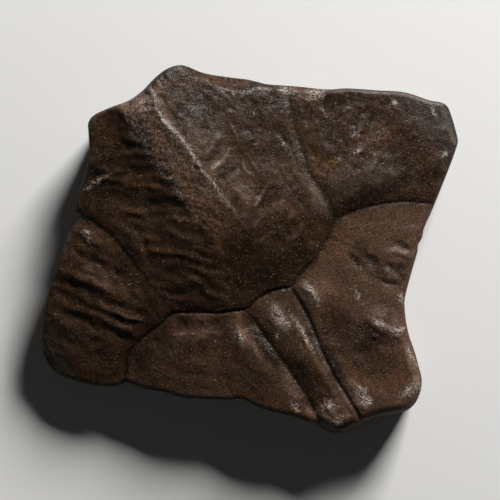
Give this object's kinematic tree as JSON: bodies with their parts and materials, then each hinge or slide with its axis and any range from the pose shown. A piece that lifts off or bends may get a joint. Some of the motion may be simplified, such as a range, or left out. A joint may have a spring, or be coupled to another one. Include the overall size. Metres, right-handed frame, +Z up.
{
  "type": "fossil turtle nuchal plate",
  "caption": "Fossil nuchal plate of a pond turtle's upper shell, kite-shaped and domed, with scute grooves, a low keel and growth ridges.",
  "frame": {"origin": "on the surface that the plate lies on, under the middle of its outline", "axes": "+Z up, out of the plate's outer (dorsal) side; -Y towards the free front margin, +Y towards the rear end that met the first neural plate; +X towards the animal's left wing tip"},
  "size_m": [0.0666, 0.0579, 0.0106],
  "materials": {
    "fossil_bone": "semi-gloss dark brown mineralised bone"
  },
  "bodies": {
    "root": {"nuchal_plate": "fossil_bone"}
  },
  "joints": []
}
